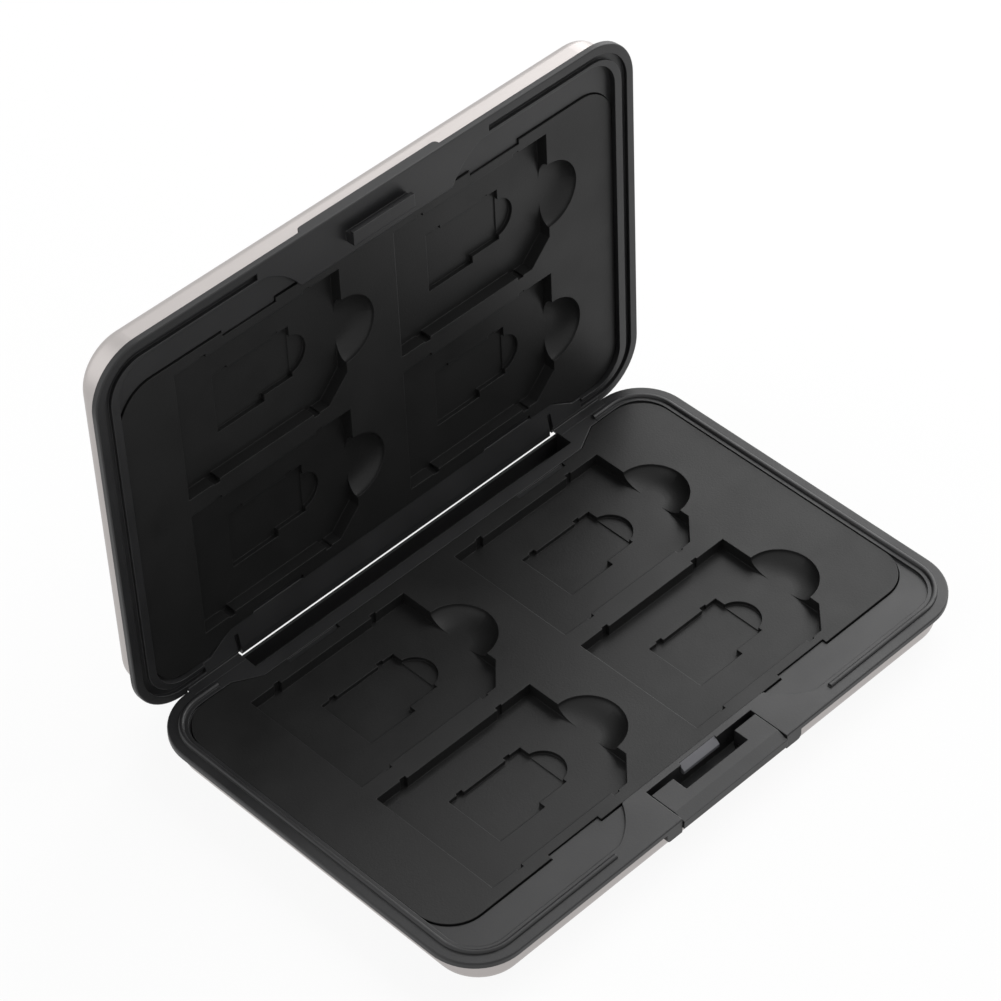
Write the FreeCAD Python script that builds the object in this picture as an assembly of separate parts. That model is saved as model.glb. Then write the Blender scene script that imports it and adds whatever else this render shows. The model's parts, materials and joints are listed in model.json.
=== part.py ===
import FreeCAD, Part
import math
import os
from FreeCAD import Vector

# Memory card case: two pressed aluminium shells on black plastic frames, each half with a moulded
# card tray, joined by two film hinge straps at the back and held shut by a lever latch at the front.
# Millimetres. The origin is the centre of the base's underside, +X runs along the hinge, +Y points to
# the hinge and +Z is up. The base lies flat and the lid stands open against its stop.

# Whole case
CASE_WIDTH = 109.5        # over the rims, along the hinge
CASE_DEPTH = 71.4         # over the rims, latch to hinge
HALF_HEIGHT = 6.4         # one half, outer face to rim
CORNER_RADIUS = 9.0       # plan corners of the rims
PARTING_GAP = 0.3         # between the two rims when the case is shut
OPEN_ANGLE = 92.0         # lid against its stop
FIT = 0.1                 # side gap between parts fixed in one half

# Aluminium shells and the double-sided tape that holds the frame and tray to them
SHELL_WALL = 0.6
SHELL_EDGE_RADIUS = 1.8   # outer edge between floor and wall
SHELL_INSET = 1.4         # the rim overhangs the shell wall by this much
SHELL_ENDS = 0.55         # and by this much more at the case's two ends
TAPE_THICKNESS = 0.15
TAPE_MARGIN = 0.3         # flat floor left bare round the tape

# Plastic frames
RIM_BAND = 1.0            # height of the rim's side face above the shell wall
RIM_ROUND = 0.25          # rounding of the rim's outer edge
SEAL_INSET = 1.7          # rim edge to the sealing rib's outer face
SEAL_WIDTH = 0.9
SEAL_HEIGHT = 0.45
SEAL_ROUND = 0.4          # rounding of the rib's top edges
SEAL_CLEARANCE = 0.15     # between the rib in the base and the sides of the groove in the lid
SEAL_ROOM = 0.5           # between the rib and the bottom of that groove
SEAL_FRONT_BREAK = 23.6   # half the stretch with no rib at the latch
SEAL_STRAP_OVERLAP = 3.8  # the rib runs this far in front of a strap
CORE_WALL = 0.8           # plastic left round the hollows under the ledge
CORE_END = 45.0           # half the reach of those hollows along the ledge
CORE_START = 16.0         # where those hollows start beside the latch
LATCH_PAD_HALF = 15.43    # raised pad round the latch, half length at the tray
LATCH_PAD_CURVE = 12.5    # radius of the hollow curve at each end of the pad
LATCH_PAD_RISE = 6.15     # centre of that curve behind the pad's back edge
LATCH_PAD_GAP = 0.05      # between the back of the pad and the tray

# Card trays
BASE_TRAY_DROP = 0.15     # tray's top face below the rim
LID_TRAY_DROP = 0.8
TRAY_PROUD = 0.3          # tray's top face above the ledge in front of it
LID_TRAY_ENDS = 0.95      # the lid's tray is shorter than the base's by this much at each end
BASE_LAND_DROP = 0.2      # foot of the sloping land before the hinge below the rim
LID_LAND_DROP = 1.05
TRAY_FIT = 0.1            # gap between tray and frame
TRAY_FRONT_GAP = 0.2      # the same at the latch
TRAY_SIDE = 3.35          # rim edge to tray, at the sides and the back ends
TRAY_FRONT = 8.75         # rim edge to tray, at the latch
TRAY_BACK = 5.8           # rim edge to tray, between the hinges
TRAY_CORNER_RADIUS = 6.5
TRAY_WAIST_MARGIN = 0.3   # tray's straight edge beyond the free stretch between the hinges
TRAY_WAIST_SLANT = 4.8    # how far each end of that edge slants out
TAB_INNER = 19.9          # hold-down tabs on the tray's long edges
TAB_OUTER = 30.2
TAB_REACH = 0.7           # overlap of a tab on the tray
TAB_THICKNESS = 0.5       # tabs are let into the tray
TAB_CLEARANCE = 0.05

# Card pockets, measured from the pocket's corner nearest its cut corner
SD_LENGTH = 32.4
SD_WIDTH = 24.4
SD_DEPTH = 2.1
SD_CUT = 4.1              # cut corner
SD_COLUMN_GAP = 11.17     # between the left and right pockets
SD_ROW_GAP = 3.25         # between the front and back pockets
BASE_COLUMN_OFFSET = -2.33  # middle of the column gap from the case's centre line
LID_COLUMN_OFFSET = -1.86
SD_ROW_OFFSET = 1.23      # middle of the row gap, towards the hinge
BOWL_RADIUS = 6.2         # finger bowl on the pocket's end
BOWL_FLAT = 2.2           # radius of the bowl's level middle
WALL_STEP = 0.3           # middle of the long wall stands in by this much
RELIEF_WIDTH = 1.2        # upright reliefs at both ends of that stretch
RELIEF_DEPTH = 0.3
SD_RELIEF_INSETS = (5.5, 6.65)       # from the pocket's two ends
MICRO_OFFSET = (8.3, 6.7)
MICRO_LENGTH = 15.2
MICRO_WIDTH = 11.0
MICRO_DEPTH = 0.8         # below the larger pocket's floor
MICRO_NOSE_LENGTH = 5.8   # narrow end
MICRO_NOSE_STEP = 1.2
MICRO_BOWL_RADIUS = 3.6
MICRO_BOWL_DEPTH = 0.62   # also below the larger pocket's floor
MICRO_BOWL_INSET = 0.6    # centre inside the pocket's end
MICRO_RELIEF_INSETS = (2.4, 2.8)

# Hinge: a film hinge strap at each end of the back edge, which bends about one line
HINGE_INSET = 0.38        # bending line inside the rim's back edge
HINGE_DROP = 0.45         # bending line below the base's rim
HINGE_END = 20.05         # rim's side edge to the free stretch between the straps
STRAP_LENGTH = 10.5       # along the hinge
STRAP_THICKNESS = 0.4
STRAP_HOLD = 1.35         # how far each leg is let into its rim
STRAP_BEND_RADIUS = 0.1   # inside of the bend when the lid is open
STRAP_GAP = 0.05          # strap to its seat in the lid
BACK_SKIRT_MARGIN = 0.4   # plastic skirt beyond the straps
BACK_SKIRT_DROP = 4.8     # rim to the bottom of the skirt
CHANNEL_FRONT = 3.6       # rim's back edge to the front of the dark channel
CHANNEL_LIP = 0.4         # wall behind the channel
CHANNEL_LIP_DROP = 0.55   # top of that wall below the rim
CHANNEL_DEPTH = 4.3       # over the back skirt
CHANNEL_WALL = 0.4        # plastic left under the deeper front of the channel
RELIEF_SLOT_WIDTH = 0.8   # slot in the lid's rim beside each strap
RELIEF_SLOT_LENGTH = 4.1
RELIEF_SLOT_DEPTH = 0.8

# Latch
BASE_SKIRT = (14.8, 2.9)  # plastic skirt over the shell at the latch: half length, and rim to its bottom
LID_SKIRT = (14.1, 1.9)
SKIRT_ROUND = 0.8
LEVER_HALF_WIDTH = 11.4
LEVER_SIDE_GAP = 0.15
LEVER_PROUD = 0.25        # front of the lever beyond the rim
LEVER_FRONT_HEIGHT = 1.5
LEVER_UNDERSIDE = 2.1     # below the rim
LEVER_SLOPE_START = 1.8   # rim edge to the start of the thumb slope
LEVER_ARM_INNER = 6.8     # half the opening between the arms
LEVER_BAR_BACK = 3.7      # rim edge to the back of the cross bar
LIP_OVERLAP = 0.2         # lip of the cross bar over the catch's nose
LIP_GAP = 0.1             # under the lip
LIP_LENGTH = 0.9
POCKET_BACK = 7.5         # rim edge to the tray-side wall of the latch pocket
POCKET_FLOOR = 1.4        # plastic under the latch pocket
PIVOT_BACK = 5.4          # rim edge to the lever's pivot
PIVOT_HEIGHT = 1.15       # above the pocket floor
PIVOT_RADIUS = 0.6
PIVOT_PRESS_GAP = 0.01    # pivot pin in the side wall
PIVOT_RUNNING_GAP = 0.05  # pivot pin in the arm
EYE_RADIUS = 1.05         # rounded end of each arm
PIVOT_SEAT = 1.6          # each pivot pin's hold in the side wall
PIVOT_RECESS = 0.3        # pivot pin's end inside the arm's inner face
CATCH_HALF = 6.2
CATCH_REACH = 1.7         # beyond the lid's rim
CATCH_THICKNESS = 1.8
NOSE_HEIGHT = 0.7
BUFFER_HALF = 3.9
BUFFER_THICKNESS = 1.1
BUFFER_HEIGHT = 1.6
BUFFER_SEAT = 0.4         # buffer let into the pocket's back wall
BUFFER_SLOPE = 1.0        # fall of the buffer's top towards the front
BUFFER_DROP = 0.05        # highest edge of the buffer below the rim
SPRING_HALF = 3.0
SPRING_THICKNESS = 0.25
SPRING_BACK = 0.5         # bend behind the cross bar
SPRING_FOOT = 1.6
SPRING_REACH = 2.5
SPRING_GAP = 0.05

# Levels and places that follow from the sizes above
HALF_W = CASE_WIDTH / 2
HALF_D = CASE_DEPTH / 2
RIM_Z = HALF_HEIGHT
SHELL_TOP = RIM_Z - RIM_BAND
SEAT_Z = SHELL_WALL + TAPE_THICKNESS
FRAME_INSET = SHELL_INSET + SHELL_WALL + FIT
FRAME_EDGE_RADIUS = SHELL_EDGE_RADIUS - SHELL_WALL - TAPE_THICKNESS
WELL_INSET = TRAY_SIDE - TRAY_FIT
AXIS_Y = HALF_D - HINGE_INSET
BASE_AXIS_Z = RIM_Z - HINGE_DROP
LID_AXIS_Z = RIM_Z + PARTING_GAP + HINGE_DROP
HINGE_SPAN_HALF = HALF_W - HINGE_END
STRAP_SPAN = (HINGE_SPAN_HALF, HINGE_SPAN_HALF + STRAP_LENGTH)
STRAP_SEAT_Y = HALF_D - STRAP_HOLD
STRAP_SEAT_Z = RIM_Z - STRAP_THICKNESS
BACK_SKIRT_HALF = STRAP_SPAN[1] + BACK_SKIRT_MARGIN
SEAL_BACK_BREAK = STRAP_SPAN[1] - SEAL_STRAP_OVERLAP
BUFFER_TOP = RIM_Z - BUFFER_DROP
LID_TURN = math.radians(180 - OPEN_ANGLE)
TRAY_WAIST_HALF = HINGE_SPAN_HALF + TRAY_WAIST_MARGIN
SD_COLUMNS = (-SD_COLUMN_GAP / 2 - SD_LENGTH, SD_COLUMN_GAP / 2)
SD_ROWS = (SD_ROW_OFFSET - SD_ROW_GAP / 2 - SD_WIDTH, SD_ROW_OFFSET + SD_ROW_GAP / 2)
POCKET_Z = SEAT_Z + POCKET_FLOOR
POCKET_HALF = LEVER_HALF_WIDTH + LEVER_SIDE_GAP
PIVOT_Y = -HALF_D + PIVOT_BACK
PIVOT_Z = POCKET_Z + PIVOT_HEIGHT
BAR_Y = -HALF_D + LEVER_BAR_BACK
NOSE_TOP = RIM_Z + PARTING_GAP - CATCH_REACH + NOSE_HEIGHT   # when shut
LIP_Z = NOSE_TOP + LIP_GAP
FAR = CASE_WIDTH + CASE_DEPTH                                # longer than any cut needs


def box(x0, x1, y0, y1, z0, z1):
    return Part.makeBox(x1 - x0, y1 - y0, z1 - z0, Vector(x0, y0, z0))


def along(edge, axis):
    """True for a straight edge that runs along the given axis."""
    if edge.Curve.TypeId != "Part::GeomLine":
        return False
    return abs(edge.tangentAt(edge.FirstParameter).dot(axis)) > 0.99


def at_height(shape, z):
    """Edges that lie in the level plane z."""
    return [e for e in shape.Edges if abs(e.BoundBox.ZMin - z) < 1e-6 and abs(e.BoundBox.ZMax - z) < 1e-6]


def rounded_box(x0, x1, y0, y1, z0, z1, radius):
    """Box with its four upright edges rounded."""
    block = box(x0, x1, y0, y1, z0, z1)
    return block.makeFillet(radius, [e for e in block.Edges if along(e, Vector(0, 0, 1))])


def case_block(inset, z0, z1, ends=0.0):
    """Block with the case's rounded plan, drawn in by inset and by a further length at both ends."""
    w = HALF_W - inset - ends
    d = HALF_D - inset
    return rounded_box(-w, w, -d, d, z0, z1, CORNER_RADIUS - inset)


def pan_block(inset, z0, z1, edge_radius):
    """Block like the shell's plan, whose lower edge is rounded, as a pressed pan is."""
    block = case_block(inset, z0, z1, SHELL_ENDS)
    return block.makeFillet(edge_radius, at_height(block, z0))


def x_prism(points, x0, x1):
    """Outline of (y, z) points carried from x0 to x1."""
    corners = [Vector(x0, y, z) for y, z in points]
    face = Part.Face(Part.makePolygon(corners + corners[:1]))
    return face.extrude(Vector(x1 - x0, 0, 0))


def z_prism(points, z0, z1):
    """Outline of (x, y) points carried from z0 to z1."""
    corners = [Vector(x, y, z0) for x, y in points]
    face = Part.Face(Part.makePolygon(corners + corners[:1]))
    return face.extrude(Vector(0, 0, z1 - z0))


def x_rod(radius, x0, x1, y, z):
    return Part.makeCylinder(radius, x1 - x0, Vector(x0, y, z), Vector(1, 0, 0))


def both_sides(span):
    """The stretch (near, far) along X on the right side, then its mirror on the left."""
    near, far = span
    return ((near, far), (-far, -near))


def skirt(half, y0, y1, drop, grow):
    """Plastic skirt below the rim band, with rounded lower corners, grown for the notch that it fills."""
    bottom = RIM_Z - drop - grow
    block = box(-half - grow, half + grow, y0, y1, bottom, SHELL_TOP + RIM_ROUND)
    corners = [e for e in at_height(block, bottom) if along(e, Vector(0, 1, 0))]
    return block.makeFillet(SKIRT_ROUND + grow, corners)


def front_skirt(size, grow=0.0):
    half, drop = size
    return skirt(half, -HALF_D - grow, -HALF_D + FRAME_INSET + FRAME_EDGE_RADIUS, drop, grow)


def back_skirt(grow=0.0):
    y0 = HALF_D - FRAME_INSET - FRAME_EDGE_RADIUS
    return skirt(BACK_SKIRT_HALF, y0, HALF_D + grow, BACK_SKIRT_DROP, grow)


# Shells and tape


def shell(front_skirt_size):
    """Pressed aluminium pan, notched for the plastic skirts at the latch and the hinge."""
    outer = pan_block(SHELL_INSET, 0, SHELL_TOP, SHELL_EDGE_RADIUS)
    hollow = pan_block(SHELL_INSET + SHELL_WALL, SHELL_WALL, SHELL_TOP + 1, SHELL_EDGE_RADIUS - SHELL_WALL)
    return outer.cut([hollow, front_skirt(front_skirt_size, FIT), back_skirt(FIT)])


def tape():
    """Sheet of double-sided tape on the shell's flat floor."""
    return case_block(SHELL_INSET + SHELL_EDGE_RADIUS + TAPE_MARGIN, SHELL_WALL, SEAT_Z, SHELL_ENDS)


# Card trays


def tray_block(ends, grow, front_grow, z0, z1):
    """The tray's plan, drawn in at both ends, grown by one fit at the latch and by another elsewhere."""
    w = HALF_W - TRAY_SIDE - ends + grow
    front = -HALF_D + TRAY_FRONT - front_grow
    back_end = HALF_D - TRAY_SIDE + grow
    waist = HALF_D - TRAY_BACK + grow
    near = TRAY_WAIST_HALF - grow
    far = near + TRAY_WAIST_SLANT
    block = rounded_box(-w, w, front, back_end, z0, z1, TRAY_CORNER_RADIUS + grow)
    hinge_side = z_prism([(-near, waist), (near, waist), (far, back_end), (far, FAR), (-far, FAR),
                          (-far, back_end)], z0, z1)
    return block.cut(hinge_side)


def relieved_wall(length, edge, outward, insets):
    """Long wall of a pocket from left to right, at y = edge: its middle stands in between two reliefs."""
    left = insets[0]
    right = length - insets[1]
    half = RELIEF_WIDTH / 2
    out = edge + outward * RELIEF_DEPTH
    middle = edge - outward * WALL_STEP
    return [(left - half, edge), (left - half, out), (left + half, out), (left + half, middle),
            (right - half, middle), (right - half, out), (right + half, out), (right + half, edge)]


def finger_bowl(depth):
    """Round bowl about the origin's Z axis: a level middle that rises to the edge as a quarter ellipse."""
    foot = Vector(BOWL_FLAT, 0, -depth)
    edge = Vector(BOWL_RADIUS, 0, 0)
    ellipse = Part.Ellipse(edge, foot, Vector(BOWL_FLAT, 0, 0))
    rise = Part.ArcOfEllipse(ellipse, 0, math.pi / 2).toShape()
    corners = [edge, Vector(BOWL_RADIUS, 0, 1), Vector(0, 0, 1), Vector(0, 0, -depth), foot]
    lines = [Part.makeLine(p, q) for p, q in zip(corners, corners[1:])]
    profile = Part.Face(Part.Wire(lines + [rise]))
    return profile.revolve(Vector(0, 0, 0), Vector(0, 0, 1), 360)


def card_pocket():
    """Cutter for one pocket, its cut corner at +X and -Y and its top at z = 0."""
    near_wall = relieved_wall(SD_LENGTH, 0, -1, SD_RELIEF_INSETS)
    far_wall = relieved_wall(SD_LENGTH, SD_WIDTH, 1, SD_RELIEF_INSETS)
    sd = z_prism([(0, 0)] + near_wall + [(SD_LENGTH - SD_CUT, 0), (SD_LENGTH, SD_CUT), (SD_LENGTH, SD_WIDTH)]
                 + far_wall[::-1] + [(0, SD_WIDTH)], -SD_DEPTH, 1)
    bowl = finger_bowl(SD_DEPTH)
    bowl.translate(Vector(SD_LENGTH, SD_WIDTH / 2, 0))
    nose = MICRO_LENGTH - MICRO_NOSE_LENGTH
    depth = SD_DEPTH + MICRO_DEPTH
    far_wall = relieved_wall(MICRO_LENGTH, MICRO_WIDTH, 1, MICRO_RELIEF_INSETS)
    micro = z_prism([(0, 0), (nose, 0), (nose, MICRO_NOSE_STEP), (MICRO_LENGTH, MICRO_NOSE_STEP),
                     (MICRO_LENGTH, MICRO_WIDTH)] + far_wall[::-1] + [(0, MICRO_WIDTH)], -depth, 0)
    notch_depth = SD_DEPTH + MICRO_BOWL_DEPTH
    notch = Part.makeCylinder(MICRO_BOWL_RADIUS, notch_depth,
                              Vector(MICRO_LENGTH - MICRO_BOWL_INSET, MICRO_WIDTH / 2, -notch_depth))
    micro = micro.fuse(notch)
    micro.translate(Vector(MICRO_OFFSET[0], MICRO_OFFSET[1], 0))
    return sd.fuse([bowl, micro]).removeSplitter()


def card_tray(ends, drop, column_offset, cut_corner_at_hinge):
    """Moulded tray with four pockets; the lid's are turned so that their cut corners lie at the hinge."""
    top = RIM_Z - drop
    tray = tray_block(ends, 0, 0, SEAT_Z, top)
    pockets = []
    for x in SD_COLUMNS:
        for y in SD_ROWS:
            pocket = card_pocket()
            if cut_corner_at_hinge:
                pocket = pocket.mirror(Vector(0, SD_WIDTH / 2, 0), Vector(0, 1, 0))
            pocket.translate(Vector(column_offset + x, y, top))
            pockets.append(pocket)
    return tray.cut(pockets + tab_seats(top - TRAY_PROUD))


# Plastic frames


def seal_ring(grow, z0, z1):
    """Ring along the rim, for the rib or its groove."""
    return case_block(SEAL_INSET - grow, z0, z1).cut(case_block(SEAL_INSET + SEAL_WIDTH + grow, z0, z1))


def seal_breaks(grow, z0, z1):
    """Stretches at the latch and the hinge where the ring is left out."""
    front = SEAL_FRONT_BREAK - grow
    back = SEAL_BACK_BREAK - grow
    return [box(-front, front, -HALF_D, 0, z0, z1), box(-back, back, 0, HALF_D, z0, z1)]


def seal_rib():
    """Sealing rib on the base's rim, with rounded top edges."""
    z0 = RIM_Z - RIM_ROUND
    z1 = RIM_Z + SEAL_HEIGHT
    ring = seal_ring(0, z0, z1)
    return ring.makeFillet(SEAL_ROUND, at_height(ring, z1)).cut(seal_breaks(0, z0, z1))


def seal_groove():
    """Groove in the lid's rim that clears the rib."""
    z0 = RIM_Z + PARTING_GAP - SEAL_HEIGHT - SEAL_ROOM
    z1 = RIM_Z + 1
    return seal_ring(SEAL_CLEARANCE, z0, z1).cut(seal_breaks(SEAL_CLEARANCE, z0, z1))


def latch_pad(ledge):
    """Raised pad round the latch, flush with the rim, its ends curving out towards the front."""
    back = -HALF_D + TRAY_FRONT
    half = LATCH_PAD_HALF + math.sqrt(LATCH_PAD_CURVE ** 2 - LATCH_PAD_RISE ** 2)
    pad = box(-half, half, -HALF_D, back, ledge, RIM_Z)
    ends = []
    for x in (-half, half):
        centre = Vector(x, back + LATCH_PAD_RISE, ledge)
        ends.append(Part.makeCylinder(LATCH_PAD_CURVE, RIM_Z - ledge, centre))
    return pad.cut(ends)


def latch_pad_back():
    """Strip that carries the pad back over the gap in front of the tray."""
    front = -HALF_D + TRAY_FRONT
    y0 = front - 2 * TRAY_FRONT_GAP
    return box(-LATCH_PAD_HALF, LATCH_PAD_HALF, y0, front - LATCH_PAD_GAP, SEAT_Z, RIM_Z)


def tab_blocks(grow, z0, z1):
    """Plans of the hold-down tabs on the tray's two long edges, grown for their seats in the tray."""
    front = -HALF_D + TRAY_FRONT
    back = HALF_D - TRAY_BACK
    reach = TAB_REACH + grow
    blocks = []
    for x0, x1 in both_sides((TAB_INNER - grow, TAB_OUTER + grow)):
        blocks.append(box(x0, x1, front - 2 * TRAY_FRONT_GAP, front + reach, z0, z1))
        blocks.append(box(x0, x1, back - reach, back + 2 * TRAY_FIT, z0, z1))
    return blocks


def tab_seats(ledge):
    """Shallow cuts in the tray's edges that let the tabs lie flush with the ledge."""
    return tab_blocks(TRAY_FIT, ledge - TAB_THICKNESS - TAB_CLEARANCE, RIM_Z)


def hold_down_tabs(ledge):
    return tab_blocks(0, ledge - TAB_THICKNESS, ledge)


def hinge_land(land, ledge):
    """Land before the hinge that slopes up from the level land at the tray to the rim at the straps."""
    foot = HALF_D - TRAY_BACK
    return x_prism([(foot, ledge), (foot, land), (STRAP_SEAT_Y, RIM_Z), (STRAP_SEAT_Y, ledge)],
                   -SEAL_BACK_BREAK, SEAL_BACK_BREAK)


def hinge_slope(land):
    """What is cut from the rim above that land."""
    foot = HALF_D - TRAY_BACK
    return x_prism([(foot, land), (STRAP_SEAT_Y, RIM_Z), (STRAP_SEAT_Y, RIM_Z + 1), (foot, RIM_Z + 1)],
                   -SEAL_BACK_BREAK, SEAL_BACK_BREAK)


def ledge_hollows(ledge):
    """Hollows moulded into the underside of the front ledge, on both sides of the latch."""
    y0 = -HALF_D + FRAME_INSET + FRAME_EDGE_RADIUS + CORE_WALL
    y1 = -HALF_D + TRAY_FRONT - TRAY_FRONT_GAP - CORE_WALL
    return [box(x0, x1, y0, y1, 0, ledge - CORE_WALL) for x0, x1 in both_sides((CORE_START, CORE_END))]


def frame_ring(front_skirt_size, tray_ends, tray_drop, land_drop):
    """What both frames share: the body inside the shell, the rim over it, the skirts, well and tabs."""
    ledge = RIM_Z - tray_drop - TRAY_PROUD
    land = RIM_Z - land_drop
    body = pan_block(FRAME_INSET, SEAT_Z, RIM_Z - RIM_ROUND, FRAME_EDGE_RADIUS)
    rim = case_block(0, SHELL_TOP, RIM_Z)
    rim = rim.makeFillet(RIM_ROUND, at_height(rim, RIM_Z))
    ring = body.fuse([rim, front_skirt(front_skirt_size), back_skirt()])
    well = case_block(WELL_INSET, ledge, RIM_Z + 1, tray_ends)
    well = well.cut([latch_pad(ledge), hinge_land(land, ledge)])
    cavity = tray_block(tray_ends, TRAY_FIT, TRAY_FRONT_GAP, 0, RIM_Z + 1)
    ring = ring.cut([well, hinge_slope(land), cavity] + ledge_hollows(ledge))
    return ring.fuse(hold_down_tabs(ledge) + [latch_pad_back()])


def strap_seats(gap):
    """Cutters for the seats of both straps in a rim, open at the back edge."""
    seats = []
    for x0, x1 in both_sides(STRAP_SPAN):
        seats.append(box(x0 - gap, x1 + gap, STRAP_SEAT_Y - gap, FAR, STRAP_SEAT_Z - gap, RIM_Z + 1))
    return seats


def latch_pocket():
    """Room for the lever, open through the front, with a seat for the buffer in its back wall."""
    back = -HALF_D + POCKET_BACK
    room = box(-POCKET_HALF, POCKET_HALF, -FAR, back, POCKET_Z, RIM_Z + 1)
    return room.fuse(box(-BUFFER_HALF, BUFFER_HALF, back - 1, back + BUFFER_SEAT, BUFFER_TOP - BUFFER_HEIGHT,
                         RIM_Z + 1))


def pivot_pin(side, radius):
    """Stub through one arm of the lever into the pocket's side wall; side is 1 right, -1 left."""
    x0, x1 = sorted((side * (LEVER_ARM_INNER + PIVOT_RECESS), side * (POCKET_HALF + PIVOT_SEAT)))
    return x_rod(radius, x0, x1, PIVOT_Y, PIVOT_Z)


def hinge_channel():
    """Dark channel along the free back edge, deepest at its front, and the top of the low wall behind it."""
    half = HINGE_SPAN_HALF
    front = HALF_D - CHANNEL_FRONT
    top = RIM_Z + 1
    over_skirt = box(-half, half, front, HALF_D - CHANNEL_LIP, RIM_Z - CHANNEL_DEPTH, top)
    over_lip = box(-half, half, front, FAR, RIM_Z - CHANNEL_LIP_DROP, top)
    deep = pan_block(FRAME_INSET + CHANNEL_WALL, SEAT_Z + CHANNEL_WALL, top, FRAME_EDGE_RADIUS - CHANNEL_WALL)
    return over_skirt.fuse([over_lip, deep.common(box(-half, half, front, HALF_D, 0, top))])


def base_frame():
    frame = frame_ring(BASE_SKIRT, 0, BASE_TRAY_DROP, BASE_LAND_DROP)
    frame = frame.fuse(seal_rib())
    pivot_holes = [pivot_pin(side, PIVOT_RADIUS + PIVOT_PRESS_GAP) for side in (1, -1)]
    return frame.cut([hinge_channel(), latch_pocket()] + pivot_holes + strap_seats(0)).removeSplitter()


def lid_catch():
    """Hook on the lid's pad: a post with a nose that points to the front of the case."""
    tip = RIM_Z + CATCH_REACH
    nose_y = BAR_Y - LIP_OVERLAP
    back_y = -HALF_D + POCKET_BACK - BUFFER_THICKNESS - LIP_LENGTH / 2
    front_y = back_y - CATCH_THICKNESS
    root = RIM_Z - CATCH_REACH
    return x_prism([(back_y, root), (back_y, tip), (nose_y, tip), (nose_y, tip - NOSE_HEIGHT),
                    (front_y, tip - NOSE_HEIGHT), (front_y, root)], -CATCH_HALF, CATCH_HALF)


def lid_frame():
    """Built like the base, rim up and hinge at the back; lid_place() then stands it open."""
    frame = frame_ring(LID_SKIRT, LID_TRAY_ENDS, LID_TRAY_DROP, LID_LAND_DROP)
    slots = []
    for x0, x1 in both_sides((HINGE_SPAN_HALF - RELIEF_SLOT_WIDTH, HINGE_SPAN_HALF)):
        slots.append(box(x0, x1, HALF_D - RELIEF_SLOT_LENGTH, FAR, RIM_Z - RELIEF_SLOT_DEPTH, RIM_Z + 1))
    frame = frame.cut([seal_groove()] + slots + strap_seats(STRAP_GAP))
    return frame.fuse(lid_catch()).removeSplitter()


# Hinge straps


def open_lid_point(y, z):
    """Where a point (y, z) of the lid's drawn section lies when the lid stands open."""
    dy = AXIS_Y - y
    dz = z - LID_AXIS_Z
    return (AXIS_Y + dy * math.cos(LID_TURN) - dz * math.sin(LID_TURN),
            BASE_AXIS_Z + dy * math.sin(LID_TURN) + dz * math.cos(LID_TURN))


def strap_corner(z):
    """Where the level z of the base's section meets the same level of the open lid's."""
    dz = z - LID_AXIS_Z
    dy = (z - BASE_AXIS_Z - dz * math.cos(LID_TURN)) / math.sin(LID_TURN)
    return open_lid_point(AXIS_Y - dy, z)


def hinge_strap(side):
    """Strap with a leg in the base's rim, a bend and a leg in the lid's rim; side is 1 right, -1 left."""
    x0, x1 = sorted((side * STRAP_SPAN[0], side * STRAP_SPAN[1]))
    inner = strap_corner(RIM_Z)
    outer = strap_corner(STRAP_SEAT_Z)
    strap = x_prism([(STRAP_SEAT_Y, RIM_Z), inner, open_lid_point(STRAP_SEAT_Y, RIM_Z),
                     open_lid_point(STRAP_SEAT_Y, STRAP_SEAT_Z), outer, (STRAP_SEAT_Y, STRAP_SEAT_Z)], x0, x1)
    for (y, z), radius in ((inner, STRAP_BEND_RADIUS), (outer, STRAP_BEND_RADIUS + STRAP_THICKNESS)):
        middle = Vector((x0 + x1) / 2, y, z)
        strap = strap.makeFillet(radius, [e for e in strap.Edges if e.CenterOfMass.isEqual(middle, 1e-6)])
    return strap


# Latch


def latch_lever():
    """U-shaped lever: a cross bar with a thumb slope and a lip, and two arms that hang on the pivot."""
    front = -HALF_D - LEVER_PROUD
    slope = -HALF_D + LEVER_SLOPE_START
    underside = RIM_Z - LEVER_UNDERSIDE
    under_lip = BAR_Y - LIP_LENGTH
    nose = [(slope, RIM_Z), (front, underside + LEVER_FRONT_HEIGHT), (front, underside)]
    bar = x_prism([(BAR_Y, RIM_Z)] + nose + [(under_lip, underside), (under_lip, LIP_Z), (BAR_Y, LIP_Z)],
                  -LEVER_HALF_WIDTH, LEVER_HALF_WIDTH)
    leg_back = PIVOT_Y + EYE_RADIUS
    leg_front = PIVOT_Y - EYE_RADIUS
    arms = []
    for x0, x1 in both_sides((LEVER_ARM_INNER, LEVER_HALF_WIDTH)):
        arms.append(x_prism([(leg_back, RIM_Z)] + nose + [(leg_front, underside), (leg_front, PIVOT_Z),
                                                         (leg_back, PIVOT_Z)], x0, x1))
        arms.append(x_rod(EYE_RADIUS, x0, x1, PIVOT_Y, PIVOT_Z))
    half = LEVER_HALF_WIDTH + 1
    bore = x_rod(PIVOT_RADIUS + PIVOT_RUNNING_GAP, -half, half, PIVOT_Y, PIVOT_Z)
    return bar.fuse(arms).cut(bore).removeSplitter()


def catch_buffer():
    """Grey buffer at the top of the latch pocket's back wall, sloping down to meet the lid's catch."""
    back = -HALF_D + POCKET_BACK + BUFFER_SEAT
    front = back - BUFFER_THICKNESS
    bottom = BUFFER_TOP - BUFFER_HEIGHT
    return x_prism([(back, bottom), (back, BUFFER_TOP), (front, BUFFER_TOP - BUFFER_SLOPE), (front, bottom)],
                   -BUFFER_HALF, BUFFER_HALF)


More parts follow.
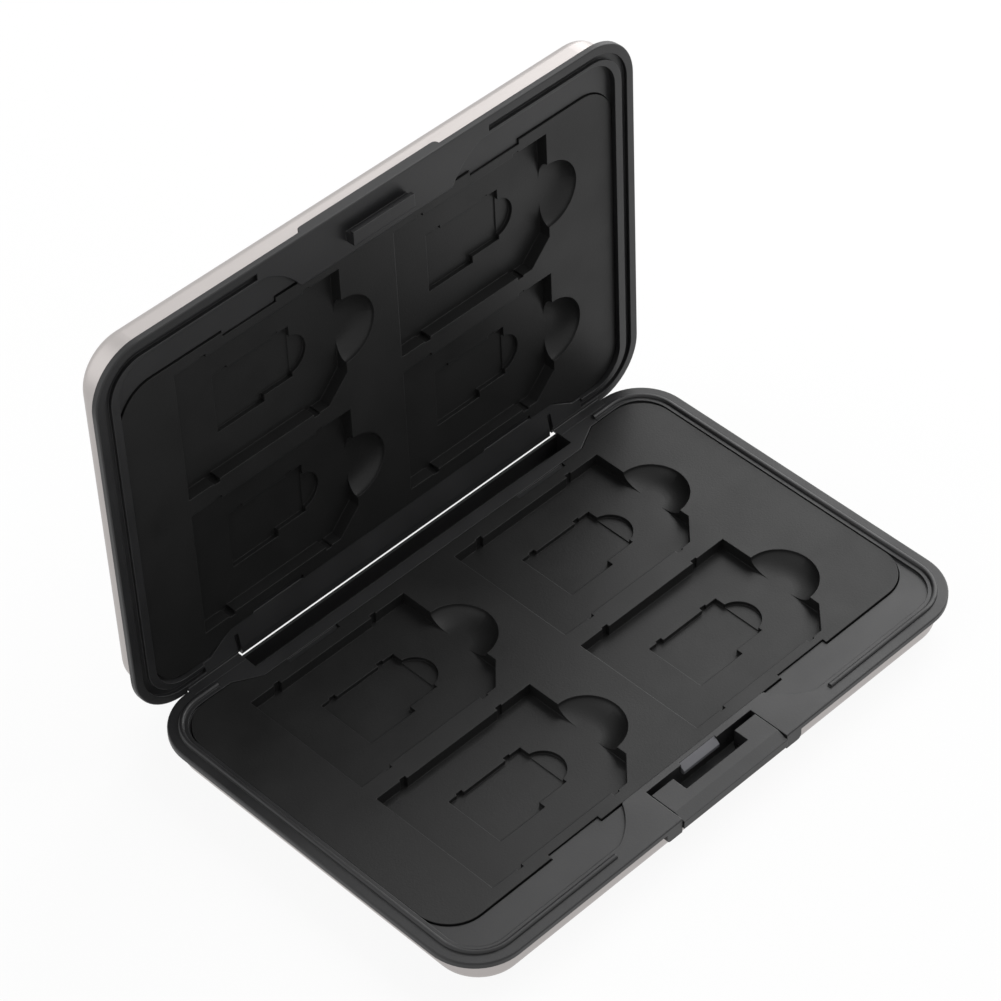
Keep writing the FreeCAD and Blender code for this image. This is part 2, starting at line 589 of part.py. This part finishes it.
def latch_spring():
    """Bent leaf of spring steel under the cross bar: a foot on the pocket floor and a rising tongue."""
    bend = BAR_Y + SPRING_BACK
    heel = bend - SPRING_FOOT
    tip = bend - SPRING_REACH
    t = SPRING_THICKNESS
    foot = POCKET_Z + t
    top = RIM_Z - LEVER_UNDERSIDE - SPRING_GAP
    return x_prism([(heel, POCKET_Z), (bend, POCKET_Z), (bend, foot), (tip, top), (tip, top - 1.3 * t),
                    (bend - 2 * t, foot), (heel, foot)], -SPRING_HALF, SPRING_HALF)


# Assembly


def lid_place(shape):
    """Turns a lid piece over from its drawn pose, hinge at the back, to the open lid on the hinge axis."""
    shape = shape.mirror(Vector(0, AXIS_Y, 0), Vector(0, 1, 0))
    shape.translate(Vector(0, 0, BASE_AXIS_Z - LID_AXIS_Z))
    shape.rotate(Vector(0, AXIS_Y, BASE_AXIS_Z), Vector(1, 0, 0), 180 - OPEN_ANGLE)
    return shape


def pieces():
    return {
        "base_shell": shell(BASE_SKIRT),
        "base_tape": tape(),
        "base_frame": base_frame(),
        "base_card_tray": card_tray(0, BASE_TRAY_DROP, BASE_COLUMN_OFFSET, False),
        "hinge_strap_left": hinge_strap(-1),
        "hinge_strap_right": hinge_strap(1),
        "latch_lever": latch_lever(),
        "latch_pin_left": pivot_pin(-1, PIVOT_RADIUS),
        "latch_pin_right": pivot_pin(1, PIVOT_RADIUS),
        "latch_spring": latch_spring(),
        "catch_buffer": catch_buffer(),
        "lid_shell": lid_place(shell(LID_SKIRT)),
        "lid_tape": lid_place(tape()),
        "lid_frame": lid_place(lid_frame()),
        "lid_card_tray": lid_place(card_tray(LID_TRAY_ENDS, LID_TRAY_DROP, LID_COLUMN_OFFSET, True)),
    }


def main():
    os.makedirs("parts", exist_ok=True)
    for name, shape in pieces().items():
        solid = shape.Solids[0] if len(shape.Solids) == 1 else shape
        print(name, "solids", len(shape.Solids), "valid", shape.isValid(), "volume", round(shape.Volume, 2))
        solid.exportStep("parts/" + name + ".step")


main()
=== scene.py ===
import json
import math

import bpy
import numpy as np
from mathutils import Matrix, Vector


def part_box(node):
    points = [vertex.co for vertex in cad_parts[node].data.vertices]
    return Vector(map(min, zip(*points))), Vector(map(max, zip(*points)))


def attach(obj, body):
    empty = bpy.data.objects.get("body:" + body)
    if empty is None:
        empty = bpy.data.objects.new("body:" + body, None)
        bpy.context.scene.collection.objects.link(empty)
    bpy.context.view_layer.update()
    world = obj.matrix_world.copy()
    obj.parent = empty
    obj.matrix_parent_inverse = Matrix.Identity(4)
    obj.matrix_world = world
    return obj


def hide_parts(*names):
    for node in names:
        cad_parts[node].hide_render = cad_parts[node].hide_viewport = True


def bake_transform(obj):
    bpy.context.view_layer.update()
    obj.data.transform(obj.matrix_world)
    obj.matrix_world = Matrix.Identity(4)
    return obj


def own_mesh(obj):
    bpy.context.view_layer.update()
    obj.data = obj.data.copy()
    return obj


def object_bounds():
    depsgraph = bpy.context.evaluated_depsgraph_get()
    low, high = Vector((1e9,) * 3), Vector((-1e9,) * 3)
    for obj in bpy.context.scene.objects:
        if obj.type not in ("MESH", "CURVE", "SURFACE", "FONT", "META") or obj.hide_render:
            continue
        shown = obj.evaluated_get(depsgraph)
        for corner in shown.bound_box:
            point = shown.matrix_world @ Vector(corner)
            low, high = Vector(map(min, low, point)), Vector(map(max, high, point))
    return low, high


bl_info = {
    "name": "Memory card case",
    "version": (1, 0, 0),
    "blender": (4, 5, 0),
    "location": "3D View > Sidebar > Card case",
    "description": "Dresses a hinged memory card case with its finishes and sets up its studio",
    "category": "Object",
}

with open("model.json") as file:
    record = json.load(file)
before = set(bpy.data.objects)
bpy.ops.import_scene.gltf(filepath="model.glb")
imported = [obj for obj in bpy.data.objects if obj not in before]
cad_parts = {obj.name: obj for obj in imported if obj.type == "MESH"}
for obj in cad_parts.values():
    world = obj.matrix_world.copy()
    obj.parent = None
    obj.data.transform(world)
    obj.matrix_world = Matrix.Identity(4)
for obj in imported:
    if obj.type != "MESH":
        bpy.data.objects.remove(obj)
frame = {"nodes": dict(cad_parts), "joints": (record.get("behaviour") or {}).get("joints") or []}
NODES = frame["nodes"]
CAD_LOW, CAD_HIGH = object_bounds()

MM = 0.001

# The film hinge straps repeat the sizes of the solids that they stand for.
STRAP_THICKNESS = 0.4 * MM
STRAP_BEND_RADIUS = 0.1 * MM
PARTING_GAP = 0.3 * MM

# So does the leaf spring under the lever, but its bend is round.
SPRING_THICKNESS = 0.25 * MM
SPRING_FOOT = 1.6 * MM
SPRING_BEND_RADIUS = 0.3 * MM   # to the middle of the leaf

# How finely those strips are drawn
STRIP_STATIONS = 9              # sections along X
ARC_STEPS = 17                  # points round a bend
SHARP_EDGE = math.radians(40)   # faces that meet at a wider angle show an edge

# Surface marks
GRIT_SIZE = 0.2 * MM            # grit marks on the metal, as drawn
METAL_PATCH_SIZE = 14 * MM      # faint dull and shiny patches on the metal
GRIT_DEPTH = 0.006 * MM
FRAME_GRAIN_DEPTH = 0.02 * MM
TRAY_GRAIN_DEPTH = 0.03 * MM
BUFFER_GRAIN_DEPTH = 0.01 * MM
DRAWN_LINE_SIZE = 0.08 * MM     # width of the lines on drawn steel
DRAWN_LINE_SQUEEZE = 0.05       # those lines are longer than wide by one over this
TAPE_MARK_SIZE = 3 * MM         # air marks under the tape
PATCH_RANGE = (0.3, 0.7)        # part of the noise's range that the patches use
PLASTIC_PATCH_ROUGHNESS = 0.05  # patches differ from the plain roughness by up to this much
METAL_PATCH_ROUGHNESS = 0.03
PLASTIC_PATCH_TINT = 0.15       # and from the plain colour by up to this share
EDGE_SAMPLES = 6

# Studio
FLOOR_LINES = 9                 # of the floor's grid, each way
FLOOR_GAP = 0.02 * MM           # under the case
SOFTBOX_PLACE = (0.62, 0.08, 0.42)
FILL_PLACE = (-0.45, 0.28, 0.33)
LAMP_SIZE = 0.8

# The camera was fitted to the corners of the card pockets in a picture 1001 pixels square.
CAMERA_PLACE = (-289.34 * MM, -280.78 * MM, 437.51 * MM)
CAMERA_TURN = (math.radians(45.388), math.radians(0.618), math.radians(-45.138))
CAMERA_LENS = 137.99
CAMERA_SENSOR = 36.0
CAMERA_NEAR = 0.01
CAMERA_FAR = 50.0


def linear(code):
    """A colour written as six hex digits in sRGB, turned to linear with full alpha."""
    channels = [int(code[i:i + 2], 16) / 255 for i in (0, 2, 4)]
    return [c / 12.92 if c <= 0.04045 else ((c + 0.055) / 1.055) ** 2.4 for c in channels] + [1.0]


def put(tree, kind, settings, sockets):
    """Adds one node. Settings are its own properties; sockets are input values, or outputs to link from."""
    node = tree.nodes.new(kind)
    for key, value in settings.items():
        setattr(node, key, value)
    for key, value in sockets.items():
        if isinstance(value, bpy.types.NodeSocket):
            tree.links.new(value, node.inputs[key])
        else:
            node.inputs[key].default_value = value
    return node


def new_tree(name):
    """An empty material and its node tree."""
    made = bpy.data.materials.new(name)
    made.use_nodes = True
    made.node_tree.nodes.clear()
    return made, made.node_tree


def dress(names, made):
    """Gives the finish to each named piece of the case."""
    for name in names:
        slots = NODES[name].data.materials
        slots.clear()
        slots.append(made)


def arc_normals(turn):
    """Unit vectors (y, z) out of an arc, which starts pointing down and goes round through the turn."""
    angle = np.linspace(0, turn, ARC_STEPS)[:, None]
    return np.hstack([np.sin(angle), -np.cos(angle)])


def ribbon(name, points, inward, thickness, x0, x1):
    """Strip of even thickness along a centre line of (y, z) points, carried from x0 to x1.

    Its section is two rails, half the thickness to either side of the centre line. The unit normals of that
    line are given in inward, towards the inside of its bend.
    """
    half = thickness / 2
    section = np.vstack([points + inward * half, (points - inward * half)[::-1]])
    x = np.linspace(x0, x1, STRIP_STATIONS)
    grid = np.empty((len(x), len(section), 3))
    grid[:, :, 0] = x[:, None]
    grid[:, :, 1:] = section
    index = np.arange(len(x) * len(section)).reshape(len(x), -1)
    near, far = index[:-1], index[1:]
    sides = np.stack([near, far, np.roll(far, -1, 1), np.roll(near, -1, 1)], -1).reshape(-1, 4)
    rails = np.arange(len(points) - 1)
    across = len(section) - 1 - rails
    caps = [np.stack([ring[rails], ring[rails + 1], ring[across - 1], ring[across]], -1)[:, ::turn]
            for ring, turn in ((index[0], 1), (index[-1], -1))]
    mesh = bpy.data.meshes.new(name)
    mesh.from_pydata(grid.reshape(-1, 3).tolist(), [], np.vstack([sides] + caps).tolist())
    mesh.polygons.foreach_set("use_smooth", np.ones(len(mesh.polygons), bool))
    mesh.set_sharp_from_angle(angle=SHARP_EDGE)
    piece = bpy.data.objects.new(name, mesh)
    bpy.context.scene.collection.objects.link(piece)
    return piece


def seen_plainly(tree):
    """1 for a ray that sees its target directly, in a reflection or through glass, and 0 for other rays."""
    path = put(tree, "ShaderNodeLightPath", {}, {})
    seen = path.outputs["Is Camera Ray"]
    for other in ("Is Glossy Ray", "Is Transmission Ray"):
        either = put(tree, "ShaderNodeMath", {"operation": "MAXIMUM"}, {0: seen, 1: path.outputs[other]})
        seen = either.outputs[0]
    return seen


def moulded(name, colour, roughness, gloss, finishes, grain_depth):
    """Thermoplastic from a finely eroded mould: satin, with a grain that breaks up the gloss.

    The moulded edges are slightly round, so they catch a thin line of light. The grain of such a mould is
    about 0.1 mm, which is finer than the picture shows, so it is drawn at the coarser size in the settings.
    """
    made, tree = new_tree(name)
    place = put(tree, "ShaderNodeTexCoord", {}, {}).outputs["Object"]
    grain = put(tree, "ShaderNodeTexNoise", {}, {
        "Vector": place, "Scale": 1 / finishes.grain_size, "Detail": 3.0, "Roughness": 0.6})
    cloud = put(tree, "ShaderNodeTexNoise", {}, {
        "Vector": place, "Scale": 1 / finishes.cloud_size, "Detail": 4.0, "Roughness": 0.55})
    patchy = put(tree, "ShaderNodeMapRange", {}, {
        "Value": cloud.outputs["Fac"], "From Min": PATCH_RANGE[0], "From Max": PATCH_RANGE[1],
        "To Min": roughness - PLASTIC_PATCH_ROUGHNESS, "To Max": roughness + PLASTIC_PATCH_ROUGHNESS})
    low = [c * (1 - PLASTIC_PATCH_TINT) for c in colour[:3]] + [1.0]
    high = [c * (1 + PLASTIC_PATCH_TINT) for c in colour[:3]] + [1.0]
    # Sockets 0, 6 and 7 of a colour mix are its share and its two colours, and output 2 is the result.
    tint = put(tree, "ShaderNodeMix", {"data_type": "RGBA"}, {0: cloud.outputs["Fac"], 6: low, 7: high})
    edge = put(tree, "ShaderNodeBevel", {"samples": EDGE_SAMPLES}, {"Radius": finishes.edge_radius})
    bump = put(tree, "ShaderNodeBump", {}, {
        "Height": grain.outputs["Fac"], "Strength": 0.6, "Distance": grain_depth,
        "Normal": edge.outputs["Normal"]})
    shader = put(tree, "ShaderNodeBsdfPrincipled", {}, {
        "Base Color": tint.outputs[2], "Roughness": patchy.outputs["Result"], "IOR": 1.5,
        "Specular IOR Level": gloss, "Normal": bump.outputs["Normal"]})
    put(tree, "ShaderNodeOutputMaterial", {}, {"Surface": shader.outputs["BSDF"]})
    return made


def anodised(finishes):
    """Anodised aluminium, blasted with fine grit before the bath: a pale, even, silky metal.

    Grit of about 0.08 mm is drawn at 0.2 mm so that the picture shows it at all.
    """
    made, tree = new_tree("anodised_aluminium_blasted")
    place = put(tree, "ShaderNodeTexCoord", {}, {}).outputs["Object"]
    grit = put(tree, "ShaderNodeTexNoise", {}, {
        "Vector": place, "Scale": 1 / GRIT_SIZE, "Detail": 2.0, "Roughness": 0.5})
    cloud = put(tree, "ShaderNodeTexNoise", {}, {
        "Vector": place, "Scale": 1 / METAL_PATCH_SIZE, "Detail": 3.0, "Roughness": 0.5})
    roughness = finishes.shell_roughness
    patchy = put(tree, "ShaderNodeMapRange", {}, {
        "Value": cloud.outputs["Fac"], "From Min": PATCH_RANGE[0], "From Max": PATCH_RANGE[1],
        "To Min": roughness - METAL_PATCH_ROUGHNESS, "To Max": roughness + METAL_PATCH_ROUGHNESS})
    edge = put(tree, "ShaderNodeBevel", {"samples": EDGE_SAMPLES}, {"Radius": finishes.edge_radius})
    bump = put(tree, "ShaderNodeBump", {}, {
        "Height": grit.outputs["Fac"], "Strength": 0.35, "Distance": GRIT_DEPTH,
        "Normal": edge.outputs["Normal"]})
    shader = put(tree, "ShaderNodeBsdfPrincipled", {}, {
        "Base Color": finishes.shell_colour, "Metallic": 1.0, "Roughness": patchy.outputs["Result"],
        "Normal": bump.outputs["Normal"]})
    put(tree, "ShaderNodeOutputMaterial", {}, {"Surface": shader.outputs["BSDF"]})
    return made


def drawn_steel():
    """Drawn steel rod and strip: bright, with fine lines along its length, which is the case's X axis."""
    made, tree = new_tree("drawn_steel")
    place = put(tree, "ShaderNodeTexCoord", {}, {}).outputs["Object"]
    along = put(tree, "ShaderNodeMapping", {}, {"Vector": place, "Scale": (DRAWN_LINE_SQUEEZE, 1.0, 1.0)})
    lines = put(tree, "ShaderNodeTexNoise", {}, {
        "Vector": along.outputs["Vector"], "Scale": 1 / DRAWN_LINE_SIZE, "Detail": 2.0})
    rough = put(tree, "ShaderNodeMapRange", {}, {
        "Value": lines.outputs["Fac"], "To Min": 0.2, "To Max": 0.36})
    shader = put(tree, "ShaderNodeBsdfPrincipled", {}, {
        "Base Color": linear("c9c9ca"), "Metallic": 1.0, "Roughness": rough.outputs["Result"]})
    put(tree, "ShaderNodeOutputMaterial", {}, {"Surface": shader.outputs["BSDF"]})
    return made


def adhesive_film():
    """Double-sided tape with its liner off: a milky film with faint air marks a few millimetres across."""
    made, tree = new_tree("adhesive_film")
    place = put(tree, "ShaderNodeTexCoord", {}, {}).outputs["Object"]
    marks = put(tree, "ShaderNodeTexNoise", {}, {"Vector": place, "Scale": 1 / TAPE_MARK_SIZE, "Detail": 2.0})
    tint = put(tree, "ShaderNodeMix", {"data_type": "RGBA"}, {
        0: marks.outputs["Fac"], 6: linear("cfccc2"), 7: linear("e4e1d8")})
    shader = put(tree, "ShaderNodeBsdfPrincipled", {}, {"Base Color": tint.outputs[2], "Roughness": 0.55})
    put(tree, "ShaderNodeOutputMaterial", {}, {"Surface": shader.outputs["BSDF"]})
    return made


class CardCaseFinishes(bpy.types.PropertyGroup):
    """Colours and surface sizes of the case."""

    shell_colour: bpy.props.FloatVectorProperty(
        name="Shell colour", description="Anodised aluminium of both shells", subtype="COLOR", size=4,
        min=0.0, max=1.0, default=linear("b1acaa"))
    shell_roughness: bpy.props.FloatProperty(
        name="Shell roughness", description="Roughness of the blasted metal", subtype="FACTOR",
        min=0.05, max=1.0, default=0.42)
    frame_colour: bpy.props.FloatVectorProperty(
        name="Frame colour", description="Black plastic of both frames", subtype="COLOR", size=4,
        min=0.0, max=1.0, default=linear("1b1b1c"))
    frame_roughness: bpy.props.FloatProperty(
        name="Frame roughness", description="Roughness of the frames' moulded surface", subtype="FACTOR",
        min=0.05, max=1.0, default=0.42)
    tray_colour: bpy.props.FloatVectorProperty(
        name="Tray colour", description="Black plastic of both card trays", subtype="COLOR", size=4,
        min=0.0, max=1.0, default=linear("181818"))
    tray_roughness: bpy.props.FloatProperty(
        name="Tray roughness", description="Roughness of the trays' moulded surface", subtype="FACTOR",
        min=0.05, max=1.0, default=0.44)
    lever_colour: bpy.props.FloatVectorProperty(
        name="Lever colour", description="Black plastic of the latch lever", subtype="COLOR", size=4,
        min=0.0, max=1.0, default=linear("1b1b1c"))
    buffer_colour: bpy.props.FloatVectorProperty(
        name="Buffer colour", description="Grey plastic of the catch buffer", subtype="COLOR", size=4,
        min=0.0, max=1.0, default=linear("6a6a6e"))
    frame_gloss: bpy.props.FloatProperty(
        name="Frame gloss", description="Strength of the frames' and latch's reflection", subtype="FACTOR",
        min=0.0, max=1.0, default=0.4)
    tray_gloss: bpy.props.FloatProperty(
        name="Tray gloss", description="Strength of the trays' reflection", subtype="FACTOR",
        min=0.0, max=1.0, default=0.25)
    grain_size: bpy.props.FloatProperty(
        name="Grain size", description="Size of the plastic's moulded grain", unit="LENGTH",
        min=0.0001, max=0.002, precision=5, default=0.35 * MM)
    cloud_size: bpy.props.FloatProperty(
        name="Patch size", description="Size of the faint dull and shiny patches", unit="LENGTH",
        min=0.001, max=0.05, precision=4, default=9 * MM)
    edge_radius: bpy.props.FloatProperty(
        name="Edge radius", description="Rounding of the visible edges", unit="LENGTH",
        min=0.0, max=0.001, precision=5, default=0.16 * MM)


class CardCaseStudio(bpy.types.PropertyGroup):
    """Light and floor of the studio."""

    floor_colour: bpy.props.FloatVectorProperty(
        name="Floor colour", description="Pale paper that the case lies on", subtype="COLOR", size=4,
        min=0.0, max=1.0, default=linear("f4f4f4"))
    floor_size: bpy.props.FloatProperty(
        name="Floor size", description="Side of the floor", unit="LENGTH", min=1.0, max=20.0, default=6.0)
    floor_whiteness: bpy.props.FloatProperty(
        name="Floor whiteness", description="How far the floor shows as plain white", subtype="FACTOR",
        min=0.0, max=1.0, default=0.9)
    ambient: bpy.props.FloatProperty(
        name="Ambient", description="Even light from all round", min=0.0, max=2.0, default=0.5)
    softbox_power: bpy.props.FloatProperty(
        name="Softbox", description="Large light to the right of the case", unit="POWER",
        min=0.0, max=100.0, default=6.4)
    fill_power: bpy.props.FloatProperty(
        name="Fill light", description="Weaker light behind and to the left of the case", unit="POWER",
        min=0.0, max=100.0, default=1.2)


class CARDCASE_OT_shells(bpy.types.Operator):
    """Finishes the two aluminium shells"""

    bl_idname = "cardcase.shells"
    bl_label = "Aluminium shells"

    def execute(self, context):
        dress(("base_shell", "lid_shell"), anodised(context.scene.cardcase_finishes))
        return {"FINISHED"}


class CARDCASE_OT_frames(bpy.types.Operator):
    """Finishes the two plastic frames"""

    bl_idname = "cardcase.frames"
    bl_label = "Plastic frames"

    def execute(self, context):
        finishes = context.scene.cardcase_finishes
        # Polypropylene is tough enough for a film hinge and takes the mould's fine texture, slightly waxy.
        made = moulded("polypropylene_black_frame", finishes.frame_colour, finishes.frame_roughness,
                       finishes.frame_gloss, finishes, FRAME_GRAIN_DEPTH)
        dress(("base_frame", "lid_frame"), made)
        return {"FINISHED"}


class CARDCASE_OT_straps(bpy.types.Operator):
    """Makes the two film hinge straps, bent round the hinge"""

    bl_idname = "cardcase.straps"
    bl_label = "Hinge straps"

    def centre_line(self, low):
        """Middle of the strap's section: level in the base's rim, up round an arc, then along the lid's rim.

        The level line and the lid's line meet at a corner, and the arc touches both of them. Gives the points
        (y, z), the unit normals towards the inside of the bend, and the two ends of the arc.
        """
        hinge = next(joint for joint in frame["joints"] if joint["name"] == "lid_hinge")
        axis = np.array(hinge["pos_m"][1:])
        turn = math.pi - math.radians(hinge["range_deg"][1])
        rise = np.array([math.cos(turn), math.sin(turn)])
        back = np.array([math.sin(turn), -math.cos(turn)])
        radius = STRAP_BEND_RADIUS + STRAP_THICKNESS / 2
        level = low.z + STRAP_THICKNESS / 2
        rim_depth = low.z + STRAP_THICKNESS - axis[1]
        on_lid = axis + back * (rim_depth + PARTING_GAP + STRAP_THICKNESS / 2)
        corner = on_lid + rise * (level - on_lid[1]) / rise[1]
        touch = radius * math.tan(turn / 2)
        bend_start = corner - np.array([touch, 0.0])
        bend_end = corner + rise * touch
        out = arc_normals(turn)
        arc = bend_start + np.array([0.0, radius]) + radius * out
        foot = np.array([low.y, level])
        head = on_lid + rise * (axis[0] - low.y)
        points = np.vstack([foot, arc, head])
        inward = -np.vstack([out[0], out, out[-1]])
        return points, inward, bend_start, bend_end

    def strap(self, name, finish):
        low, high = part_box(name)
        points, inward, bend_start, bend_end = self.centre_line(low)
        piece = ribbon(name + "_bent", points, inward, STRAP_THICKNESS, low.x, high.x)
        piece.data.materials.append(finish)
        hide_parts(name)
        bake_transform(piece)

    def execute(self, context):
        finish = bpy.data.materials["polypropylene_black_frame"]
        for name in ("hinge_strap_left", "hinge_strap_right"):
            self.strap(name, finish)
        return {"FINISHED"}


class CARDCASE_OT_trays(bpy.types.Operator):
    """Finishes the two card trays"""

    bl_idname = "cardcase.trays"
    bl_label = "Card trays"

    def execute(self, context):
        finishes = context.scene.cardcase_finishes
        # Polystyrene with a coarser, duller texture than the frames.
        made = moulded("polystyrene_black_tray", finishes.tray_colour, finishes.tray_roughness,
                       finishes.tray_gloss, finishes, TRAY_GRAIN_DEPTH)
        dress(("base_card_tray", "lid_card_tray"), made)
        return {"FINISHED"}


class CARDCASE_OT_latch(bpy.types.Operator):
    """Finishes the latch lever and the grey buffer behind it"""

    bl_idname = "cardcase.latch"
    bl_label = "Latch"

    def execute(self, context):
        finishes = context.scene.cardcase_finishes
        # ABS is stiff enough for a lever and takes the same fine texture as the frames.
        lever = moulded("abs_black_lever", finishes.lever_colour, finishes.frame_roughness,
                        finishes.frame_gloss, finishes, FRAME_GRAIN_DEPTH)
        dress(("latch_lever",), lever)
        # Acetal is waxy and self-coloured.
        buffer = moulded("acetal_grey_buffer", finishes.buffer_colour, finishes.frame_roughness,
                         finishes.frame_gloss, finishes, BUFFER_GRAIN_DEPTH)
        dress(("catch_buffer",), buffer)
        return {"FINISHED"}


class CARDCASE_OT_fixings(bpy.types.Operator):
    """Finishes the hidden steel pins and the adhesive sheets"""

    bl_idname = "cardcase.fixings"
    bl_label = "Pins and tape"

    def execute(self, context):
        pins = [name for name in NODES if "_pin_" in name]
        dress(pins, drawn_steel())
        dress(("base_tape", "lid_tape"), adhesive_film())
        return {"FINISHED"}


class CARDCASE_OT_spring(bpy.types.Operator):
    """Makes the leaf spring under the lever, hung on the base"""

    bl_idname = "cardcase.spring"
    bl_label = "Latch spring"

    def centre_line(self, low, high):
        """Middle of the leaf's section: a level foot, a round bend and a straight tongue up to the lever.

        The tongue touches the bend's circle, which gives its slope. Gives the points (y, z) and the unit
        normals towards the inside of the bend.
        """
        half = SPRING_THICKNESS / 2
        centre = np.array([high.y - half, low.z + half]) + SPRING_BEND_RADIUS * np.array([-1.0, 1.0])
        heel = np.array([high.y - SPRING_FOOT, low.z + half])
        tip = np.array([low.y, high.z - half])
        reach, rise = centre[0] - tip[0], tip[1] - centre[1]
        slope = math.atan2(rise, reach) - math.asin(SPRING_BEND_RADIUS / math.hypot(reach, rise))
        out = arc_normals(math.pi - slope)
        points = np.vstack([heel, centre + SPRING_BEND_RADIUS * out, tip])
        return points, -np.vstack([out[0], out, out[-1]])

    def execute(self, context):
        low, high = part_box("latch_spring")
        points, inward = self.centre_line(low, high)
        piece = ribbon("latch_spring_leaf", points, inward, SPRING_THICKNESS, low.x, high.x)
        piece.data.materials.append(bpy.data.materials["drawn_steel"])
        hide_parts("latch_spring")
        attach(piece, "base")
        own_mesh(piece)
        return {"FINISHED"}


class CARDCASE_OT_stage(bpy.types.Operator):
    """Sets the floor, the light and the camera"""

    bl_idname = "cardcase.stage"
    bl_label = "Studio"

    def floor(self, studio):
        """A square grid in the plane just under the case: x and y run over two parameters from -1 to 1."""
        line = np.linspace(-1, 1, FLOOR_LINES)
        u, v = np.meshgrid(line, line, indexing="ij")
        points = np.stack([u, v, np.zeros_like(u)], -1).reshape(-1, 3) * studio.floor_size / 2
        points[:, 2] = CAD_LOW.z - FLOOR_GAP
        index = np.arange(u.size).reshape(u.shape)
        faces = np.stack([index[:-1, :-1], index[1:, :-1], index[1:, 1:], index[:-1, 1:]], -1).reshape(-1, 4)
        mesh = bpy.data.meshes.new("floor")
        mesh.from_pydata(points.tolist(), [], faces.tolist())
        floor = bpy.data.objects.new("floor", mesh)
        bpy.context.scene.collection.objects.link(floor)
        return floor

    def paper(self, studio):
        """Matt white paper, seen as plain white by the camera and in reflections, but still taking shadow."""
        made, tree = new_tree("matt_white_paper")
        share = put(tree, "ShaderNodeMath", {"operation": "MULTIPLY"}, {
            0: seen_plainly(tree), 1: studio.floor_whiteness})
        matt = put(tree, "ShaderNodeBsdfDiffuse", {}, {"Color": studio.floor_colour})
        white = put(tree, "ShaderNodeEmission", {}, {"Color": (1, 1, 1, 1), "Strength": 1.0})
        both = put(tree, "ShaderNodeMixShader", {}, {
            0: share.outputs[0], 1: matt.outputs[0], 2: white.outputs[0]})
        put(tree, "ShaderNodeOutputMaterial", {}, {"Surface": both.outputs[0]})
        return made

    def sky(self, studio):
        """Even ambient light that the camera and reflections see as white."""
        world = bpy.data.worlds.new("white_studio")
        world.use_nodes = True
        tree = world.node_tree
        tree.nodes.clear()
        level = put(tree, "ShaderNodeMapRange", {}, {
            "Value": seen_plainly(tree), "To Min": studio.ambient, "To Max": 1.0})
        sky = put(tree, "ShaderNodeBackground", {}, {
            "Color": (1, 1, 1, 1), "Strength": level.outputs["Result"]})
        put(tree, "ShaderNodeOutputWorld", {}, {"Surface": sky.outputs[0]})
        bpy.context.scene.world = world

    def softbox(self, name, place, target, power):
        lamp = bpy.data.lights.new(name, "AREA")
        lamp.shape = "SQUARE"
        lamp.size = LAMP_SIZE
        lamp.energy = power
        held = bpy.data.objects.new(name, lamp)
        bpy.context.scene.collection.objects.link(held)
        held.location = place
        aim = target - held.location
        held.rotation_euler = aim.to_track_quat("-Z", "Y").to_euler()

    def camera(self):
        lens = bpy.data.cameras.new("camera")
        lens.lens = CAMERA_LENS
        lens.sensor_width = CAMERA_SENSOR
        lens.clip_start = CAMERA_NEAR
        lens.clip_end = CAMERA_FAR
        camera = bpy.data.objects.new("camera", lens)
        bpy.context.scene.collection.objects.link(camera)
        camera.location = CAMERA_PLACE
        camera.rotation_euler = CAMERA_TURN
        bpy.context.scene.camera = camera

    def execute(self, context):
        studio = context.scene.cardcase_studio
        self.floor(studio).data.materials.append(self.paper(studio))
        self.sky(studio)
        middle = (CAD_LOW + CAD_HIGH) / 2
        self.softbox("softbox_right", SOFTBOX_PLACE, middle, studio.softbox_power)
        self.softbox("softbox_left", FILL_PLACE, middle, studio.fill_power)
        self.camera()
        context.scene.view_settings.view_transform = "Standard"
        return {"FINISHED"}


class CARDCASE_PT_sidebar(bpy.types.Panel):
    """Lists the finishes and the studio"""

    bl_idname = "CARDCASE_PT_sidebar"
    bl_label = "Memory card case"
    bl_space_type = "VIEW_3D"
    bl_region_type = "UI"
    bl_category = "Card case"

    def draw(self, context):
        for operator in OPERATORS:
            self.layout.operator(operator.bl_idname)
        for settings in (context.scene.cardcase_finishes, context.scene.cardcase_studio):
            for name in settings.__annotations__:
                self.layout.prop(settings, name)


OPERATORS = (CARDCASE_OT_shells, CARDCASE_OT_frames, CARDCASE_OT_straps, CARDCASE_OT_trays, CARDCASE_OT_latch,
             CARDCASE_OT_fixings, CARDCASE_OT_spring, CARDCASE_OT_stage)
CLASSES = (CardCaseFinishes, CardCaseStudio, CARDCASE_PT_sidebar) + OPERATORS


def register():
    for cls in CLASSES:
        bpy.utils.register_class(cls)
    bpy.types.Scene.cardcase_finishes = bpy.props.PointerProperty(type=CardCaseFinishes)
    bpy.types.Scene.cardcase_studio = bpy.props.PointerProperty(type=CardCaseStudio)


def unregister():
    del bpy.types.Scene.cardcase_studio
    del bpy.types.Scene.cardcase_finishes
    for cls in reversed(CLASSES):
        bpy.utils.unregister_class(cls)


def main():
    register()
    bpy.ops.cardcase.shells()
    bpy.ops.cardcase.frames()
    bpy.ops.cardcase.straps()
    bpy.ops.cardcase.trays()
    bpy.ops.cardcase.latch()
    bpy.ops.cardcase.fixings()
    bpy.ops.cardcase.spring()
    bpy.ops.cardcase.stage()


if __name__ == "__main__":
    main()
